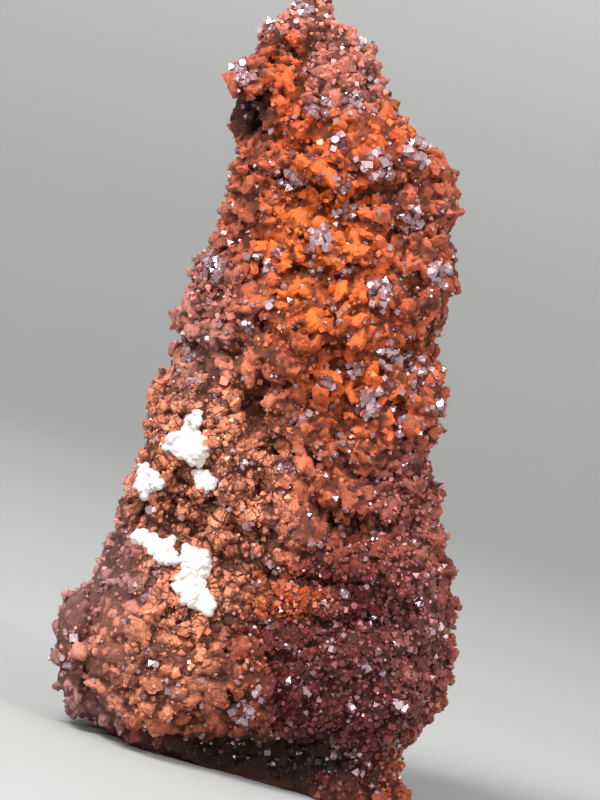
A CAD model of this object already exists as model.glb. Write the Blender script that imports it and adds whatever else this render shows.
"""Cuprite on matrix: the crumbly rust-orange rock, its crusts and crystals, and a pale studio.

Places on the front are given as they are seen there: across runs to the right and height runs up, both in
millimetres from a point on the slanting base line, with the rock leaning as it does before it is stood up.
"""

import math
import random

import bmesh
import bpy
import numpy as np
from mathutils import Matrix, Vector, kdtree, noise
from mathutils.bvhtree import BVHTree


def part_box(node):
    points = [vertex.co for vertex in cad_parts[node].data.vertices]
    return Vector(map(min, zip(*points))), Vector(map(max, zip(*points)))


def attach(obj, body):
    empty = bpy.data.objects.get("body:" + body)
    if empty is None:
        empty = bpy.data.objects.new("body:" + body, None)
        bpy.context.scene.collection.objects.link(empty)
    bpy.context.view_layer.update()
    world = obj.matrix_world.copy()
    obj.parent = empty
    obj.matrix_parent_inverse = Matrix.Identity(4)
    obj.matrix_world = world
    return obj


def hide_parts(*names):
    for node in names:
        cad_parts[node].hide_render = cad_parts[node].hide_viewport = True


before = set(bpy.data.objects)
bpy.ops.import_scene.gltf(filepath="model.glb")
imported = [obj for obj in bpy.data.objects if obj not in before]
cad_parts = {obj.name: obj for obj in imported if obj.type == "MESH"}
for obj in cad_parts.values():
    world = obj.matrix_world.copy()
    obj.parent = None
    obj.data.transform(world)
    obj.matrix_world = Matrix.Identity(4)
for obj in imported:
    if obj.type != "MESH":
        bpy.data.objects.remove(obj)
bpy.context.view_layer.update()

bl_info = {
    "name": "Cuprite on Matrix",
    "version": (1, 0, 0),
    "blender": (4, 5, 0),
    "location": "3D View > Sidebar > Specimen",
    "description": "Builds the rock, its crusts and its crystals around the packed solids, and a pale studio",
    "category": "Object",
}

MM = 0.001
CLUSTER_NODES = sorted(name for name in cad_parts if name.startswith("cuprite_"))
CRUST_NODES = sorted(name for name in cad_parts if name.startswith("white_crust_"))

LEAN = math.radians(16.0)  # from the outline's upright to the frame's, about the line of sight
OUTLINE_SEAT = (1.738, 1.378)  # where the outline's base point stands in the frame: across and in depth, mm
PHOTO_SIZE = (600, 800)
PHOTO_BASE = (240, 770)  # the pixel of the outline's base point
PIXEL_SIZE = 0.08  # millimetres of the outline to a pixel

# Tints of the rock by place, painted one over the other:
# colour, across, height, half width, half height, strength.
TINT_PATCHES = (
    ("salmon", -4.0, 21.0, 8.5, 14.0, 0.9),
    ("mauve", -12.5, 13.0, 5.0, 13.0, 0.95),
    ("mauve", -4.0, 38.0, 3.4, 9.0, 0.65),
    ("salmon", -6.0, 9.5, 7.0, 4.6, 0.75),
    ("ochre", 7.4, 42.5, 5.6, 9.6, 1.0),
    ("ochre", 9.8, 33.0, 5.2, 6.0, 0.95),
    ("bright ochre", 10.4, 31.6, 2.4, 1.8, 0.6),
    ("bright ochre", 5.4, 42.8, 3.2, 4.4, 0.9),
    ("bright ochre", 6.8, 37.6, 4.4, 1.9, 0.7),
    ("ochre", 9.8, 50.6, 5.6, 2.6, 0.9),
    ("ochre", 3.4, 54.0, 1.6, 4.2, 0.85),
    ("rose", 8.6, 55.6, 3.6, 3.6, 0.8),
    ("rose", 5.6, 60.2, 4.2, 1.8, 0.75),
    ("rust", 13.6, 45.6, 3.4, 3.6, 0.8),
    ("rust", 14.6, 36.0, 2.4, 9.0, 0.7),
    ("rust", -1.0, 46.0, 2.2, 6.0, 0.7),
    ("plum", 13.6, 22.0, 4.0, 4.4, 0.75),
    ("oxblood", 8.6, 9.4, 8.4, 9.6, 1.0),
    ("oxblood", 1.0, 9.0, 3.0, 5.0, 0.55),
    ("plum", 14.6, 12.0, 3.0, 7.0, 0.7),
    ("ochre", 3.4, 14.6, 3.4, 1.9, 0.5),
    ("salmon", 0.4, 23.4, 3.4, 4.0, 0.85),
    ("rust", 0.4, 7.4, 1.6, 4.4, 0.8),
    ("umber", 0.4, 1.0, 9.4, 3.0, 1.0),
    ("umber", 0.7, 52.4, 1.7, 1.7, 0.9),
    ("oxblood", 8.4, -0.8, 2.4, 1.5, 0.9),
)
PATCH_SOFTNESS = 0.34  # how far a patch fades on either side of its border, in shares of its size
PATCH_WANDER = 1.2  # mm that the patches' borders wander
FINE_WANDER = PATCH_WANDER * 0.4  # mm that they wander on a smaller scale as well
SALT_STEPS = (7.1, 3.7, 1.0)  # how far apart the noises of two salts are taken
BACK_TINT = 0.65  # how much of the back's own tint covers the back

# How the surface breaks up by place: kind, across, height, half width, half height, strength.
BREAK_PATCHES = (
    ("plates", -2.6, 22.0, 6.0, 9.6, 1.0),
    ("plates", -1.6, 15.6, 6.2, 4.0, 0.8),
    ("plates", -4.0, 8.6, 6.0, 4.0, 0.3),
    ("calm", -12.6, 13.0, 4.2, 13.0, 0.9),
    ("calm", 1.4, 28.9, 1.3, 2.3, 1.0),
    ("druse", 9.0, 9.0, 8.0, 10.0, 1.0),
    ("druse", 14.0, 21.0, 3.0, 5.0, 0.6),
    ("druse", 8.6, 56.6, 3.4, 3.6, 0.6),
    ("druse", 5.4, 60.4, 4.4, 1.6, 0.6),
    ("druse", -2.0, 38.0, 2.6, 5.0, 0.4),
    ("calm", 1.6, -0.2, 8.6, 2.0, 0.6),
)

# Ledges and walls of the front, along lines of (across, height). The rock stands out to the left of a
# line's direction, by the first number, and is recessed to its right, by the second, in millimetres.
STEP_LINES = (
    (0.5, 1.2, ((2.7, 54.2), (2.6, 52.4), (2.7, 50.8))),
    (0.5, 1.3, ((-0.4, 54.3), (1.2, 54.1), (2.6, 54.0))),
    (0.4, 0.6, ((2.7, 51.0), (4.3, 51.4))),
    (0.5, 0.6, ((4.3, 52.4), (4.4, 50.6))),
    (0.4, 0.5, ((2.4, 49.4), (3.4, 50.2), (4.6, 50.2))),
    (0.8, 1.1, ((2.2, 47.8), (4.2, 47.6), (6.4, 46.9), (8.6, 46.5), (11.6, 46.9))),
    (0.7, 0.8, ((11.6, 47.2), (13.6, 47.5), (15.6, 47.4), (17.0, 46.8))),
    (0.5, 0.7, ((6.4, 48.0), (8.4, 47.6), (10.6, 47.6))),
    (0.4, 0.7, ((-1.4, 46.0), (0.2, 46.2), (1.4, 46.2))),
    (0.4, 0.8, ((2.2, 48.8), (2.3, 46.4), (1.9, 44.0), (1.6, 42.0))),
    (0.5, 0.5, ((6.6, 45.4), (7.4, 44.6), (8.6, 43.0))),
    (0.5, 0.6, ((3.0, 42.6), (4.8, 42.4), (6.4, 41.2))),
    (0.6, 0.8, ((6.8, 40.6), (9.6, 40.3), (11.2, 40.7), (12.8, 41.4))),
    (0.4, 0.5, ((8.4, 39.4), (9.6, 39.0), (10.4, 39.2), (11.8, 39.4))),
    (0.7, 1.1, ((-5.3, 34.8), (-3.4, 34.6), (-1.4, 34.2))),
    (0.5, 0.6, ((-4.9, 36.2), (-2.4, 36.4), (-0.4, 36.1))),
    (0.5, 0.5, ((-3.6, 38.6), (-1.8, 38.4), (-0.2, 38.9))),
    (0.7, 0.9, ((1.9, 36.4), (3.0, 35.9), (4.6, 36.0), (6.8, 36.8))),
    (0.8, 1.3, ((4.4, 35.1), (7.0, 34.9), (8.6, 34.5), (10.6, 34.2), (12.4, 34.4))),
    (0.5, 0.6, ((4.0, 34.2), (5.4, 33.6), (6.6, 33.9))),
    (0.4, 0.5, ((1.8, 33.2), (3.0, 32.4), (4.4, 32.0))),
    (0.4, 0.5, ((0.6, 31.0), (2.0, 30.8), (3.2, 31.2))),
    (0.6, 0.9, ((6.8, 30.3), (9.6, 29.6), (12.4, 30.0))),
    (0.4, 0.5, ((12.6, 36.4), (14.2, 33.8), (15.8, 33.6))),
    (0.5, 0.6, ((-0.2, 23.6), (-0.2, 26.4), (-0.2, 29.6))),
    (0.5, 0.6, ((2.6, 30.4), (2.5, 27.6), (2.7, 26.0))),
    (0.5, 1.2, ((2.8, 26.4), (4.2, 26.2), (6.0, 25.4), (8.4, 25.0))),
    (0.7, 1.2, ((-8.4, 22.4), (-5.0, 22.4), (-1.8, 22.8), (0.6, 23.6), (2.6, 23.8))),
    (0.4, 0.6, ((-6.4, 25.6), (-5.2, 25.0), (-3.8, 24.4))),
    (0.6, 0.9, ((4.0, 24.6), (5.8, 22.6), (7.4, 21.0), (9.6, 20.4), (12.0, 20.8))),
    (0.5, 0.6, ((-1.4, 20.4), (0.6, 20.0), (2.6, 19.6), (4.6, 18.8))),
    (0.4, 0.5, ((-5.0, 21.0), (-3.8, 20.2), (-2.4, 20.4))),
    (0.5, 0.8, ((1.8, 16.8), (4.6, 16.4), (7.4, 16.4), (10.2, 15.6))),
    (0.4, 0.6, ((6.0, 13.2), (9.0, 13.0), (12.0, 13.6))),
    (0.5, 0.8, ((2.4, 3.6), (2.2, 8.0), (1.6, 11.0), (0.6, 14.4))),
    (0.4, 0.5, ((-9.0, 11.4), (-6.0, 12.0), (-2.6, 11.2), (0.4, 10.4))),
    (0.5, 0.5, ((-10.4, 8.2), (-7.0, 8.0), (-3.4, 7.0), (0.6, 6.8))),
    (0.4, 0.4, ((-9.6, 6.0), (-6.6, 5.8), (-3.0, 5.4))),
    (0.7, 1.4, ((-7.4, 4.4), (-3.6, 3.6), (0.2, 3.4), (2.4, 4.4), (5.0, 3.8))),
    (0.4, 0.5, ((-12.3, 5.0), (-12.3, 9.6), (-12.0, 14.0))),
    (0.4, 0.6, ((4.6, 10.0), (7.0, 9.0), (10.0, 9.2), (13.4, 10.2))),
    (0.4, 0.5, ((5.6, 5.0), (8.4, 4.6), (11.6, 5.4))),
    (0.5, 0.6, ((6.8, 57.6), (6.0, 56.0), (6.2, 54.0))),
    (0.4, 0.5, ((2.4, 57.0), (4.2, 57.6), (6.4, 57.8))),
)
STEP_REACH = (1.5, 1.1)  # how far the two sides of a step run out, mm
STEP_WANDER = 0.45  # mm that the steps' lines wander

# Knobs (positive) and hollows (negative) of the front: across, height, half width, half height, depth.
KNOBS = (
    (0.9, 52.3, 1.3, 1.5, -1.6), (3.6, 52.6, 0.9, 1.5, 0.5), (3.6, 47.0, 1.1, 0.8, -0.8),
    (6.2, 46.0, 0.6, 0.7, -0.9), (12.1, 47.6, 0.5, 0.8, -0.7), (9.6, 50.6, 2.4, 1.2, 0.5),
    (13.2, 49.6, 1.4, 1.0, 0.5), (14.4, 45.4, 2.0, 1.4, 0.6), (3.4, 44.7, 1.4, 0.8, 0.6),
    (5.0, 43.0, 1.3, 1.0, 0.5), (9.6, 42.8, 1.8, 1.4, 0.6), (13.9, 38.9, 0.9, 1.4, -1.6),
    (8.6, 37.4, 1.2, 1.5, 0.9), (8.4, 35.8, 0.9, 0.6, 0.6), (4.4, 37.4, 1.9, 1.0, 0.7),
    (10.9, 31.8, 2.0, 1.5, 0.8), (5.2, 34.2, 0.9, 0.4, 0.6), (-2.6, 33.2, 0.9, 0.8, 0.5),
    (0.2, 36.3, 0.6, 0.9, 0.4), (1.2, 29.9, 0.8, 0.4, -1.3), (1.3, 28.6, 0.9, 1.6, -0.7),
    (3.4, 25.8, 0.8, 0.7, -1.0), (-6.0, 27.2, 1.8, 2.4, 0.5), (-0.6, 26.6, 0.45, 2.8, 0.6),
    (2.9, 26.9, 0.8, 1.1, 0.4), (8.3, 19.8, 1.0, 1.1, -1.3), (-4.4, 25.2, 1.6, 0.9, 0.4),
    (0.4, 21.8, 2.2, 1.2, 0.5), (-13.3, 9.6, 0.9, 4.4, 0.6), (-5.6, 8.6, 4.6, 3.0, 0.6),
    (9.0, 7.2, 4.4, 4.0, 0.6), (8.8, 56.6, 1.8, 1.6, 0.5), (3.4, 55.8, 1.6, 1.2, 0.3),
    (13.8, 17.4, 1.8, 2.4, 0.5), (14.4, 29.6, 1.2, 3.0, 0.4), (-2.6, 38.6, 1.0, 2.2, 0.4),
)
KNOB_FALLOFF = 0.6
RELIEF_LIMITS = (-2.4, 1.5)  # the deepest and the highest that steps, knobs and hollows reach together, mm

# How the rock crumbles in each kind of place: size against the rubble's, tilt in degrees, how deep a
# flake sinks in shares of its size, and the shares of flakes, blocks and knobs.
FLAKE_HABITS = {
    "rubble": (1.0, 48.0, 0.02, 0.62, 0.33, 0.05),
    "plates": (1.5, 14.0, 0.06, 0.92, 0.08, 0.0),
    "calm": (0.75, 30.0, 0.2, 0.1, 0.2, 0.7),
    "druse": (0.8, 42.0, 0.04, 0.2, 0.5, 0.3),
}
FLAKE_THICKNESS = 0.36  # of a flake one across
FLAKE_WIDTHS = (0.6, 1.0)  # least and most, in shares of its length
FLAKE_HEIGHTS = (0.7, 1.2)  # least and most, in shares of the usual thickness
FLAKE_RISE = 0.14  # how far a flake sits above or below its usual place, in shares of its size
SHAPES_OF_A_KIND = 9
ROCK_SEED, CRYSTAL_SEED, CRUST_SEED = 11, 23, 5
CORE_SMOOTHING = 5
CORE_MERGING = 0.0005  # mm within which points of the solid are one
PLUG_REACH = 3.5  # mm round a pocket in which the rock's faces say which way is out
PLUG_GROWTH = 1.5  # size of a pocket's plug against the hull of what sits in it
PLUG_DEPTH = 0.1  # mm that a plug is cut off below the middle of its hull

# The crystals' forms: shape, how much of each corner is cut off, and how large a share of them has it.
CRYSTAL_FORMS = (
    ("octahedron", 0.0, 0.4), ("octahedron", 0.16, 0.25), ("cube", 0.0, 0.15), ("cube", 0.2, 0.2),
)
CLUSTER_CRYSTALS = 26

# Nests of larger crystals on the front: across, height, radius, how many, how pale.
CRYSTAL_NESTS = (
    (7.8, 49.8, 0.8, 12, 0.6), (8.4, 44.4, 0.7, 10, 0.7), (5.9, 39.9, 0.6, 8, 0.8), (8.1, 40.2, 0.7, 9, 0.6),
    (13.8, 32.6, 1.0, 16, 0.7), (14.0, 30.8, 0.6, 8, 0.7), (10.2, 29.2, 0.7, 11, 0.8),
    (6.8, 31.0, 0.6, 8, 0.5), (11.0, 30.2, 0.7, 9, 0.6), (12.8, 27.6, 0.6, 7, 0.6), (8.4, 26.4, 0.9, 13, 0.6),
    (9.2, 32.0, 0.8, 10, 0.6), (4.8, 28.6, 0.7, 9, 0.6), (2.5, 37.3, 0.4, 4, 1.0), (0.9, 35.5, 0.4, 4, 0.9),
    (2.5, 40.2, 0.6, 7, 0.9), (1.3, 40.8, 0.6, 7, 0.8), (3.0, 41.3, 0.5, 6, 0.9), (-2.2, 40.6, 0.9, 11, 0.9),
    (15.9, 35.4, 0.6, 7, 0.6), (15.6, 29.0, 0.6, 7, 0.5), (-3.8, 33.0, 0.5, 6, 0.7),
    (6.4, 52.6, 1.0, 14, 0.6),
    (9.4, 53.0, 1.2, 18, 0.6), (5.0, 61.0, 1.0, 12, 1.0), (2.6, 59.4, 0.8, 8, 0.9), (9.8, 57.6, 0.7, 8, 0.8),
    (8.0, 46.6, 0.6, 8, 0.6), (0.6, 24.5, 0.5, 4, 1.0), (3.6, 24.4, 0.6, 7, 0.5), (1.0, 20.2, 0.6, 8, 0.5),
    (-13.2, 11.6, 0.5, 3, 1.0), (-13.4, 9.0, 0.5, 4, 0.9), (-6.6, 9.6, 0.5, 4, 0.9), (-4.9, 7.6, 0.5, 5, 0.7),
    (2.9, 16.9, 0.4, 3, 1.0), (5.9, 18.7, 0.4, 3, 1.0), (8.4, 18.9, 0.4, 3, 0.9), (8.4, 14.9, 0.4, 3, 1.0),
    (7.0, 14.1, 0.4, 3, 0.9), (9.6, 9.5, 0.4, 2, 1.0), (11.1, 8.6, 0.3, 2, 1.0), (5.2, 7.3, 0.4, 3, 0.9),
    (12.6, 5.9, 0.5, 4, 1.0), (8.9, 6.3, 0.5, 4, 0.8), (9.0, 1.2, 1.2, 9, 1.0), (7.1, 1.9, 0.4, 3, 0.9),
    (12.4, 3.0, 0.4, 3, 0.9), (2.1, 12.7, 0.4, 3, 0.9), (1.5, 7.5, 0.4, 3, 0.7), (15.4, 11.8, 0.5, 4, 0.9),
    (13.9, 14.0, 0.5, 4, 0.7), (-6.6, 21.0, 0.3, 2, 1.0), (-3.4, 31.2, 0.4, 3, 1.0),
)

# Outlines of the white crusts on the front: (across, height) round each.
CRUST_OUTLINES = {
    "white_crust_upper": (
        (-3.1, 28.8), (-3.2, 27.2), (-2.7, 25.9), (-2.6, 24.9), (-3.7, 25.0), (-5.6, 26.1), (-5.6, 26.7),
        (-4.4, 27.0), (-4.0, 28.2),
    ),
    "white_crust_edge": (
        (-7.7, 24.9), (-7.4, 24.3), (-6.5, 23.7), (-5.9, 23.4), (-6.6, 22.8), (-7.3, 22.3), (-7.9, 22.9),
        (-7.7, 23.6),
    ),
    "white_crust_bench": (
        (-3.3, 24.3), (-2.2, 23.8), (-1.7, 23.4), (-2.4, 22.7), (-3.1, 22.8), (-3.1, 23.5),
    ),
    "white_crust_middle": (
        (-8.3, 18.8), (-7.7, 19.3), (-7.0, 19.3), (-6.4, 18.7), (-5.0, 18.9), (-5.3, 17.9), (-4.7, 17.3),
        (-5.4, 16.9), (-6.2, 17.4), (-7.2, 18.2),
    ),
    "white_crust_lower": (
        (-4.3, 18.1), (-3.3, 17.9), (-2.4, 17.8), (-2.5, 16.7), (-2.8, 15.6), (-2.6, 14.6), (-1.6, 14.1),
        (-2.4, 13.3), (-3.9, 14.2), (-5.1, 15.3), (-4.4, 16.3),
    ),
}
CRUST_GRAINS = 34  # to a square millimetre
CRUST_GRAIN_SIZES = (0.17, 0.4)  # least and most radius, mm
CRUST_HEAP = (-0.02, 0.3)  # how far over the rock the grains' middles are, mm
CRUST_VOXEL = 0.07  # mm
CRUST_TRIANGLES = 18000


def srgb(*seen):
    """A colour given as it is seen on a screen, from 0 to 255, as the linear values that Blender keeps."""
    return tuple(((part / 255 + 0.055) / 1.055) ** 2.4 if part > 10 else part / 3294 for part in seen)


def length_property(name, description, millimetres):
    return bpy.props.FloatProperty(
        name=name, description=description, default=millimetres * MM, min=0.0, unit="LENGTH", precision=5
    )


def count_property(name, description, default):
    return bpy.props.IntProperty(name=name, description=description, default=default, min=0)


def power_property(name, default):
    return bpy.props.FloatProperty(
        name=name, description="Power of the light", default=default, min=0.0, unit="POWER"
    )


def colour_property(name, description, seen):
    return bpy.props.FloatVectorProperty(
        name=name, description=description, default=srgb(*seen), min=0.0, max=1.0, subtype="COLOR"
    )


class SpecimenColours(bpy.types.PropertyGroup):
    """The tints of the rock, its crusts and its crystals."""

    rust: colour_property("Rust", "Most of the rock", (170, 84, 56))
    ochre: colour_property("Ochre", "The orange rock of the upper front", (204, 92, 42))
    bright_ochre: colour_property("Bright ochre", "The brightest orange", (220, 104, 38))
    salmon: colour_property("Salmon", "The cracked plates at the left", (208, 126, 94))
    mauve: colour_property("Mauve", "The weathered left flank", (156, 108, 104))
    rose: colour_property("Rose", "The crystal-covered crown", (180, 112, 98))
    plum: colour_property("Plum", "The right edge", (122, 66, 62))
    oxblood: colour_property("Oxblood", "The dark red druse at the lower right", (92, 34, 30))
    umber: colour_property("Umber", "The shadowed base and the dark pocket", (36, 18, 17))
    crack: colour_property("Crack", "The depth of the cracks", (52, 20, 12))
    back: colour_property("Back", "The broken back", (150, 84, 60))
    crystal: colour_property("Crystal", "The pale, metallic crystal faces", (206, 180, 188))
    dark_crystal: colour_property("Dark crystal", "The dark red crystals", (120, 52, 50))
    white: colour_property("White", "The chalky crusts", (208, 203, 200))


class SpecimenRock(bpy.types.PropertyGroup):
    """How finely the rock's skin is made, and how it breaks up."""

    coarse_voxel: length_property("Coarse voxel", "Fineness of the rock's broad forms", 0.2)
    fine_voxel: length_property("Fine voxel", "Fineness of the crumbled skin before it is thinned", 0.105)
    triangles: count_property("Triangles", "Triangles that are left in the skin", 192000)
    slab: length_property("Slab", "Size of the larger tilted slabs", 2.8)
    slab_relief: length_property("Slab relief", "How far the slabs stand above each other", 0.42)
    chunk: length_property("Chunk", "Size of the chunks that the slabs break into", 1.25)
    chunk_relief: length_property("Chunk relief", "How far the chunks stand above each other", 0.22)
    crack_spacing: length_property("Crack spacing", "Size of the plates between cracks", 1.15)
    crack_depth: length_property("Crack depth", "Depth of the cracks between plates", 0.24)
    bead: length_property("Bead", "Size of the beads of the druse", 0.6)
    grain: length_property("Grain", "Height of the finest grain", 0.04)
    smallest_flake: length_property("Smallest flake", "Smallest flake of the crumbling rock", 0.55)
    largest_flake: length_property("Largest flake", "Largest flake of the crumbling rock", 1.9)
    flake_count: count_property("Flake count", "Flakes that are tried over the whole rock", 11000)


class SpecimenCrumbs(bpy.types.PropertyGroup):
    """The smallest crumbs that lie on the rock."""

    smallest: length_property("Smallest", "Smallest crumb", 0.16)
    largest: length_property("Largest", "Largest crumb", 0.5)
    count: count_property("Count", "Crumbs that are strewn over the whole rock", 6000)


class SpecimenCrystals(bpy.types.PropertyGroup):
    """The cuprite crystals."""

    smallest: length_property("Smallest", "Smallest crystal of a nest", 0.28)
    largest: length_property("Largest", "Largest crystal of a nest", 0.78)
    druse_count: count_property("Druse count", "Crystals that are tried on the druse", 7000)
    stray_count: count_property("Stray count", "Single crystals that are tried all over", 1500)


class SpecimenStudio(bpy.types.PropertyGroup):
    """The floor, the lights and the camera."""

    lens: bpy.props.FloatProperty(name="Lens", description="Focal length", default=150.0, unit="CAMERA")
    elevation: bpy.props.FloatProperty(
        name="Elevation", description="The camera's angle above level", default=math.radians(1.0),
        unit="ROTATION",
    )
    backdrop: colour_property("Backdrop", "The pale wall", (240, 241, 240))
    floor: colour_property("Floor", "The pale floor", (164, 165, 164))
    sky: bpy.props.FloatProperty(
        name="Sky", description="Brightness of the light from all round", default=0.5, min=0.0, max=4.0,
        subtype="FACTOR",
    )
    key_power: power_property("Key light", 8.6)
    fill_power: power_property("Fill light", 2.0)
    glint_power: power_property("Glint lights", 1.3)


class SpecimenSettings(bpy.types.PropertyGroup):
    """All of the specimen's settings."""

    colours: bpy.props.PointerProperty(type=SpecimenColours, name="Colours", description="Tints")
    rock: bpy.props.PointerProperty(type=SpecimenRock, name="Rock", description="The skin of the rock")
    crumbs: bpy.props.PointerProperty(type=SpecimenCrumbs, name="Crumbs", description="The loose crumbs")
    crystals: bpy.props.PointerProperty(type=SpecimenCrystals, name="Crystals", description="Cuprite")
    studio: bpy.props.PointerProperty(type=SpecimenStudio, name="Studio", description="Stage and camera")


def settings():
    return bpy.context.scene.specimen


# Places

def front_places(points):
    """Across, depth and height on the outline, in millimetres, of points of the frame in millimetres."""
    x = points[:, 0] - OUTLINE_SEAT[0]
    y = points[:, 1] - OUTLINE_SEAT[1]
    z = points[:, 2]
    return x * math.cos(LEAN) + z * math.sin(LEAN), y, z * math.cos(LEAN) - x * math.sin(LEAN)


def frame_place(across, depth, height):
    """The point of the frame, in metres, of a place given on the outline in millimetres."""
    x = across * math.cos(LEAN) - height * math.sin(LEAN) + OUTLINE_SEAT[0]
    z = across * math.sin(LEAN) + height * math.cos(LEAN)
    return Vector((x, depth + OUTLINE_SEAT[1], z)) * MM


def smooth(share):
    share = np.clip(share, 0.0, 1.0)
    return share * share * (3 - 2 * share)


def turned_back(normals, steepness, start=0.0):
    """How much each place faces backwards, from 0 to 1, or forwards where the steepness is negative."""
    return smooth(normals[:, 1] * steepness + start)


def wander(points, size, amount, salt):
    """A smooth random offset at each point, in millimetres."""
    shift = Vector([salt * step for step in SALT_STEPS])
    return np.array([noise.noise_vector(Vector(point) / size + shift)[:] for point in points]) * amount


def patch_weight(across, height, patch):
    """How much of a patch shows at each place, from 0 to its strength."""
    x, z, half_width, half_height, strength = patch[1:]
    reach = np.hypot((across - x) / half_width, (height - z) / half_height)
    return strength * smooth((1 + PATCH_SOFTNESS - reach) / (2 * PATCH_SOFTNESS))


def tints_at(points, normals):
    """The rock's tint at points of its surface, in millimetres."""
    colours = settings().colours
    drift = wander(points, size=2.6, amount=PATCH_WANDER, salt=1)
    drift += wander(points, size=0.9, amount=FINE_WANDER, salt=2)
    across, _, height = front_places(points + drift)
    tint = np.tile(np.array(colours.rust), (len(points), 1))
    for patch in TINT_PATCHES:
        weight = patch_weight(across, height, patch)[:, None]
        tint += weight * (np.array(getattr(colours, patch[0].replace(" ", "_"))) - tint)
    behind = turned_back(normals, 1.6, -0.1)[:, None] * BACK_TINT
    return tint + behind * (np.array(colours.back) - tint)


def breaks_at(points, normals):
    """How much of each way of breaking up there is at points of the surface."""
    across, _, height = front_places(points)
    share = {"plates": 0.0, "calm": 0.0, "druse": 0.0}
    front = 1 - turned_back(normals, 1.4)
    for patch in BREAK_PATCHES:
        share[patch[0]] = np.maximum(share[patch[0]], patch_weight(across, height, patch) * front)
    return share


# Meshes

def mesh_arrays(mesh):
    """The points, in millimetres, and the normals of a mesh."""
    points = np.empty(len(mesh.vertices) * 3, np.float32)
    mesh.vertices.foreach_get("co", points)
    normals = np.empty(len(mesh.vertices) * 3, np.float32)
    mesh.vertex_normals.foreach_get("vector", normals)
    return points.reshape(-1, 3).astype(float) / MM, normals.reshape(-1, 3).astype(float)


def add_attribute(mesh, name, values):
    """Stores a number or a colour at every point of a mesh."""
    if values.ndim == 2:
        attribute = mesh.attributes.new(name, "FLOAT_COLOR", "POINT")
        values = np.concatenate([values, np.ones((len(values), 1))], axis=1)
        attribute.data.foreach_set("color", values.astype(np.float32).ravel())
    else:
        attribute = mesh.attributes.new(name, "FLOAT", "POINT")
        attribute.data.foreach_set("value", values.astype(np.float32))


def add_piece(name, mesh, material, node_names):
    """Makes a mesh a piece of the specimen that stands for some of its solids."""
    mesh.name = name
    mesh.materials.clear()
    mesh.materials.append(material)
    piece = bpy.data.objects.new(name, mesh)
    bpy.context.scene.collection.objects.link(piece)
    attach(piece, "root")
    if node_names:
        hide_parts(*node_names)
    return piece


def finished_mesh(mesh, *modifiers):
    """A copy of a mesh with modifiers applied, each given as its type and its settings."""
    holder = bpy.data.objects.new("holder", mesh)
    bpy.context.scene.collection.objects.link(holder)
    for kind, values in modifiers:
        modifier = holder.modifiers.new(kind.lower(), kind)
        for key, value in values.items():
            setattr(modifier, key, value)
    graph = bpy.context.evaluated_depsgraph_get()
    result = bpy.data.meshes.new_from_object(holder.evaluated_get(graph), depsgraph=graph)
    bpy.data.objects.remove(holder)
    return result


def voxels(size):
    """The modifier that makes a mesh anew as one skin, from cells of a size."""
    return "REMESH", {"mode": "VOXEL", "voxel_size": size}


def thinned(mesh, most_triangles):
    """A copy of a mesh with no more than this many triangles."""
    triangles = sum(len(face.vertices) - 2 for face in mesh.polygons)
    return finished_mesh(mesh, ("DECIMATE", {"ratio": min(1.0, most_triangles / triangles)}))


def mesh_from(bm, name):
    """A new mesh of a bmesh, which is freed."""
    mesh = bpy.data.meshes.new(name)
    bm.to_mesh(mesh)
    bm.free()
    return mesh


def tree_of(mesh):
    """A tree that finds the nearest place of a mesh, and where a ray meets it."""
    points = [vert.co for vert in mesh.vertices]
    return BVHTree.FromPolygons(points, [face.vertices for face in mesh.polygons])


class Ground:
    """The skin of the rock, ready to have things strewn on it."""

    def __init__(self, mesh):
        self.points, self.normals = mesh_arrays(mesh)
        mesh.calc_loop_triangles()
        corners = np.empty(len(mesh.loop_triangles) * 3, np.int32)
        mesh.loop_triangles.foreach_get("vertices", corners)
        self.corners = corners.reshape(-1, 3)
        a, b, c = (self.points[self.corners[:, k]] for k in range(3))
        self.areas = np.linalg.norm(np.cross(b - a, c - a), axis=1) / 2
        self.middles = (a + b + c) / 3
        self.facing = self.normals[self.corners].mean(axis=1)
        self.across, self.depth, self.height = front_places(self.middles)
        self.breaks = breaks_at(self.middles, self.facing)

    def strewn(self, count, density, draw):
        """Random places on the skin, as densely as an array of one number a triangle says."""
        weight = self.areas * density
        chosen = draw.choice(len(weight), size=count, p=weight / weight.sum())
        u, v = draw.random(count), draw.random(count)
        over = u + v > 1
        u[over], v[over] = 1 - u[over], 1 - v[over]
        shares = np.stack([1 - u - v, u, v], axis=1)[:, :, None]
        places = (self.points[self.corners[chosen]] * shares).sum(axis=1)
        normals = (self.normals[self.corners[chosen]] * shares).sum(axis=1)
        return places, normals / np.linalg.norm(normals, axis=1)[:, None], chosen


def spaced(places, sizes, closeness):
    """Which of the places to keep so that things of these sizes don't crowd each other, in their order."""
    cell = sizes.max()
    taken, kept = {}, []
    for k, (place, size) in enumerate(zip(places, sizes)):
        key = tuple((place // cell).astype(int))
        near = (
            other
            for dx in (-1, 0, 1) for dy in (-1, 0, 1) for dz in (-1, 0, 1)
            for other in taken.get((key[0] + dx, key[1] + dy, key[2] + dz), ())
        )
        if all(
            (place[0] - x) ** 2 + (place[1] - y) ** 2 + (place[2] - z) ** 2 > (closeness * (size + s)) ** 2
            for x, y, z, s in near
        ):
            taken.setdefault(key, []).append((place[0], place[1], place[2], size))
            kept.append(k)
    return np.array(kept)


def random_sizes(smallest, span, count, draw, rarity):
    """Random sizes from the smallest up to a span more, of which the large ones are rare."""
    return smallest + span * draw.random(count) ** rarity


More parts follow.
